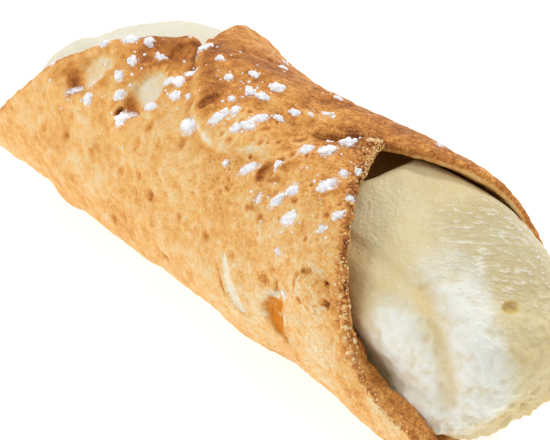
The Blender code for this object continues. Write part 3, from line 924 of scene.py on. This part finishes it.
FRIED_COLOURS = (   # how fried the dough is, and its colour
    (0.0, (0.94, 0.86, 0.68)),
    (0.18, (0.95, 0.71, 0.39)),
    (0.36, (0.94, 0.545, 0.185)),
    (0.50, (0.83, 0.38, 0.095)),
    (0.64, (0.60, 0.225, 0.05)),
    (0.80, (0.32, 0.105, 0.026)),
    (1.0, (0.09, 0.028, 0.01)),
)
ORANGE_DOUGH = (0.78, 0.26, 0.016)
SUGAR_WHITE = (0.93, 0.92, 0.94)


def plus(tree, base, texture, middle, strength):
    """The base value with a texture added, whose usual value is the middle one."""
    lowered = add(tree, "ShaderNodeMath", {0: texture, 1: middle}, operation="SUBTRACT").outputs[0]
    return add(tree, "ShaderNodeMath", {0: lowered, 1: strength, 2: base}, operation="MULTIPLY_ADD").outputs[0]


def colour_steps(tree, value, steps):
    node = add(tree, "ShaderNodeValToRGB", {"Fac": value})
    elements = node.color_ramp.elements
    while len(elements) < len(steps):
        elements.new(0.5)
    for element, (place, colour) in zip(elements, steps):
        element.position = place
        element.color = (*colour, 1)
    return node.outputs["Color"]


def crust_material():
    material, tree, shader, where = start_material("fried dough")
    mottling = noise_node(tree, where, 520, 5, 0.62)
    grain = noise_node(tree, where, 2300, 4, 0.6)
    cells = add(tree, "ShaderNodeTexVoronoi", {"Vector": where, "Scale": 1150, "Smoothness": 0.6},
                feature="SMOOTH_F1").outputs["Distance"]
    crumbs = noise_node(tree, where, 1800, 3, 0.6)
    fried = plus(tree, mark(tree, "fried"), mottling, 0.5, 0.64)
    from_far = add(tree, "ShaderNodeSeparateXYZ", {0: where}).outputs["X"]
    middling = add(tree, "ShaderNodeMapRange", {"Value": from_far, "From Min": -0.04, "From Max": 0.02,
                                                "To Min": 0.2, "To Max": 0.36})
    fried = plus(tree, fried, noise_node(tree, where, 1250, 3, 0.6), 0.5, middling.outputs["Result"])
    near = add(tree, "ShaderNodeMapRange", {"Value": from_far, "From Min": -0.04, "From Max": 0.02, "To Min": 0.15, "To Max": 0.6})
    fried = plus(tree, fried, grain, 0.5, near.outputs["Result"])
    pale_specks = between(tree, noise_node(tree, where, 1650, 2), 0.62, 0.72)
    fried = plus(tree, fried, pale_specks, 0.0, -0.14)
    rough_share = add(tree, "ShaderNodeMath", {0: mark(tree, "crumbly"), 1: 1.1}, operation="MULTIPLY").outputs[0]
    fried = plus(tree, fried, crumbs, 0.51, rough_share)
    specks = between(tree, noise_node(tree, where, 1300, 2), 0.69, 0.76)
    fried = plus(tree, fried, specks, 0.0, 0.22)
    colour = colour_steps(tree, fried, FRIED_COLOURS)
    orange = combine(tree, "MULTIPLY", mark(tree, "orange"), between(tree, mottling, 0.25, 0.5))
    colour = blend_colours(tree, orange, colour, ORANGE_DOUGH)
    powder = noise_node(tree, where, 2600, 3, 0.7)
    settled = add(tree, "ShaderNodeMath", {0: mark(tree, "dusted"), 1: powder}, operation="ADD").outputs[0]
    colour = blend_colours(tree, between(tree, settled, 0.92, 1.12), colour, SUGAR_WHITE)
    tree.links.new(colour, shader.inputs["Base Color"])
    gloss = add(tree, "ShaderNodeMapRange", {"Value": mottling, "From Min": 0.3, "From Max": 0.7,
                                             "To Min": 0.42, "To Max": 0.66})
    tree.links.new(gloss.outputs["Result"], shader.inputs["Roughness"])
    shader.inputs["Specular IOR Level"].default_value = 0.14
    shader.inputs["Subsurface Weight"].default_value = 0.12
    shader.inputs["Subsurface Radius"].default_value = (1.0, 0.45, 0.2)
    shader.inputs["Subsurface Scale"].default_value = 0.0008
    relief = plus(tree, noise_node(tree, where, 850, 6, 0.68), cells, 0.5, -0.35)
    relief = plus(tree, relief, crumbs, 0.5, mark(tree, "crumbly"))
    bump = add(tree, "ShaderNodeBump", {"Height": relief, "Strength": 0.85, "Distance": 0.0008})
    tree.links.new(bump.outputs["Normal"], shader.inputs["Normal"])
    return material


CREAM = (0.74, 0.635, 0.36)
CREAM_DEEP = (0.70, 0.555, 0.265)
CREAM_WHITE = (0.86, 0.86, 0.775)
CREAM_YELLOW_AND_GROOVE_SHADE = (0.72, 0.50, 0.14)
PAINTED_GLINT_WHITE = (0.97, 0.89, 0.74)       # painted glint streaks where it glistens
CREAM_PAINTED_SHADE = (0.55, 0.36, 0.13)    # painted warm shade by the fried rim and where the cream sinks


def cream_material():
    material, tree, shader, where = start_material("ricotta cream")
    clouds = between(tree, noise_node(tree, where, 130, 3), 0.35, 0.65)
    grain = noise_node(tree, where, 1500, 4, 0.6)
    colour = blend_colours(tree, combine(tree, "MULTIPLY", clouds, 0.6), CREAM, CREAM_DEEP)
    pale = combine(tree, "MULTIPLY", between(tree, grain, 0.5, 0.7), 0.25)
    colour = blend_colours(tree, pale, colour, CREAM_WHITE)
    colour = blend_colours(tree, mark(tree, "white"), colour, CREAM_WHITE)
    # Yellow, which in the groove is painted shade.
    colour = blend_colours(tree, combine(tree, "MULTIPLY", mark(tree, "yellow_and_groove_shade"), 0.8), colour, CREAM_YELLOW_AND_GROOVE_SHADE)
    # Painted warm shade by the rim and in the sunken hollow.
    colour = blend_colours(tree, combine(tree, "MULTIPLY", mark(tree, "painted_rim_shade"), 0.75), colour, CREAM_PAINTED_SHADE)
    along_strokes = math.atan2(STROKE[1], STROKE[0])
    strokes = add(tree, "ShaderNodeMapping", {"Vector": where, "Rotation": (0, 0, along_strokes),
                                              "Scale": (0.0021, 0.0007, 0.0006)}, vector_type="TEXTURE")
    ripples = noise_node(tree, strokes.outputs["Vector"], 1.0, 3, 0.6)
    wet_and_glint_share = mark(tree, "wet_and_painted_glints")
    # Pale streaks along the strokes in the wet zone: painted glints.
    painted_glints = combine(tree, "MULTIPLY", wet_and_glint_share, between(tree, ripples, 0.51, 0.66))
    colour = blend_colours(tree, painted_glints, colour, PAINTED_GLINT_WHITE)
    tree.links.new(colour, shader.inputs["Base Color"])
    dull = add(tree, "ShaderNodeMapRange", {"Value": noise_node(tree, where, 700, 3), "To Min": 0.34, "To Max": 0.58})
    rough = plus(tree, dull.outputs["Result"], wet_and_glint_share, 0.0, -0.28)
    tree.links.new(rough, shader.inputs["Roughness"])
    shader.inputs["Subsurface Weight"].default_value = 0.4
    shader.inputs["Subsurface Radius"].default_value = (1.0, 0.75, 0.45)
    shader.inputs["Subsurface Scale"].default_value = 0.0018
    shader.inputs["Specular IOR Level"].default_value = 0.5
    relief = plus(tree, grain, ripples, 0.5, add(tree, "ShaderNodeMath", {0: wet_and_glint_share, 1: 6.5}, operation="MULTIPLY").outputs[0])
    bump = add(tree, "ShaderNodeBump", {"Height": relief, "Strength": 0.6, "Distance": 0.0006})
    tree.links.new(bump.outputs["Normal"], shader.inputs["Normal"])
    return material


def sugar_material():
    material, tree, shader, where = start_material("powdered sugar")
    grain = noise_node(tree, where, 2400, 4, 0.6)
    colour = blend_colours(tree, between(tree, grain, 0.35, 0.65), (0.95, 0.94, 0.98), (1, 1, 1))
    tree.links.new(colour, shader.inputs["Base Color"])
    shader.inputs["Roughness"].default_value = 0.85
    shader.inputs["Specular IOR Level"].default_value = 0.3
    # A faint glow: painted light that brightens the sugar.
    shader.inputs["Emission Color"].default_value = (0.96, 0.95, 1, 1)
    shader.inputs["Emission Strength"].default_value = 0.11
    shader.inputs["Subsurface Weight"].default_value = 0.6
    shader.inputs["Subsurface Radius"].default_value = (1, 1, 1)
    shader.inputs["Subsurface Scale"].default_value = 0.0008
    bump = add(tree, "ShaderNodeBump", {"Height": grain, "Strength": 0.6, "Distance": 0.0004})
    tree.links.new(bump.outputs["Normal"], shader.inputs["Normal"])
    return material


def crumb_material():
    material, tree, shader, where = start_material("rim crumbs")
    grain = noise_node(tree, where, 1900, 4, 0.6)
    fried = plus(tree, mark(tree, "fried"), grain, 0.5, 0.5)
    tree.links.new(colour_steps(tree, fried, FRIED_COLOURS), shader.inputs["Base Color"])
    shader.inputs["Roughness"].default_value = 0.6
    shader.inputs["Subsurface Weight"].default_value = 0.2
    shader.inputs["Subsurface Radius"].default_value = (1.0, 0.5, 0.25)
    shader.inputs["Subsurface Scale"].default_value = 0.0006
    bump = add(tree, "ShaderNodeBump", {"Height": grain, "Strength": 0.6, "Distance": 0.0004})
    tree.links.new(bump.outputs["Normal"], shader.inputs["Normal"])
    return material


def make_floor():
    bpy.ops.mesh.primitive_plane_add(size=3, location=(0, 0, -0.0002))
    floor = bpy.context.object
    floor.name = "floor"
    material, tree, shader, where = start_material("floor")
    shader.inputs["Base Color"].default_value = (0.6, 0.6, 0.6, 1)
    shader.inputs["Roughness"].default_value = 0.9
    shader.inputs["Emission Color"].default_value = (1, 1, 1, 1)
    shader.inputs["Emission Strength"].default_value = 0.7
    floor.data.materials.append(material)


def aim(thing, place, target):
    thing.location = place
    thing.rotation_euler = (Vector(target) - Vector(place)).to_track_quat("-Z", "Y").to_euler()


def add_light(name, direction, distance, size, power, target, colour=(1, 1, 1)):
    light = bpy.data.lights.new(name, "AREA")
    light.shape = "DISK"
    light.size = size
    light.energy = power
    light.color = colour
    lamp = bpy.data.objects.new(name, light)
    bpy.context.scene.collection.objects.link(lamp)
    aim(lamp, Vector(target) + Vector(direction).normalized() * distance, target)


CAMERA_AZIMUTH = math.radians(51.6)
CAMERA_ELEVATION = math.radians(34.9)
CAMERA_DISTANCE = 0.56
CAMERA_AIM = (-1.1, -2.8, 17.2)      # millimetres, at the middle of the picture
LENS = 225.4


def make_camera():
    data = bpy.data.cameras.new("camera")
    data.lens = LENS
    data.sensor_width = 36
    camera = bpy.data.objects.new("camera", data)
    bpy.context.scene.collection.objects.link(camera)
    level = math.cos(CAMERA_ELEVATION)
    back = Vector((math.sin(CAMERA_AZIMUTH) * level, -math.cos(CAMERA_AZIMUTH) * level,
                   math.sin(CAMERA_ELEVATION)))
    target = Vector(CAMERA_AIM) * MM
    aim(camera, target + back * CAMERA_DISTANCE, target)
    bpy.context.scene.camera = camera


def light_scene():
    low, high = cad_box
    middle = (low + high) / 2
    add_light("key", (-0.45, -0.8, 0.5), 0.6, 0.35, 1.35, middle)
    add_light("window", (-0.12, 0.72, 0.68), 0.6, 0.1, 1.35, middle)
    add_light("ceiling", (0.35, 0.25, 1), 0.6, 0.4, 1.1, middle)
    world = bpy.data.worlds.new("studio")
    bpy.context.scene.world = world
    world.use_nodes = True
    backdrop = world.node_tree.nodes["Background"]
    backdrop.inputs["Color"].default_value = (1, 1, 1, 1)
    backdrop.inputs["Strength"].default_value = 0.45
    bpy.context.scene.view_settings.view_transform = "Standard"


def finish_piece(piece, material, slot, *nodes):
    piece.data.materials.append(material)
    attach(piece, "root")
    if nodes:
        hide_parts(*nodes)


slide = frame_slide()
crust = make_crust(slide)
finish_piece(crust, crust_material(), "fried_dough", "shell")
cream = make_cream(slide)
finish_piece(cream, cream_material(), "cream", "filling")
surface = surface_of(crust)
finish_piece(make_sugar(surface, slide), sugar_material(), "cream")
finish_piece(make_rim_crumbs(surface, slide), crumb_material(), "fried_dough")
make_floor()
make_camera()
light_scene()
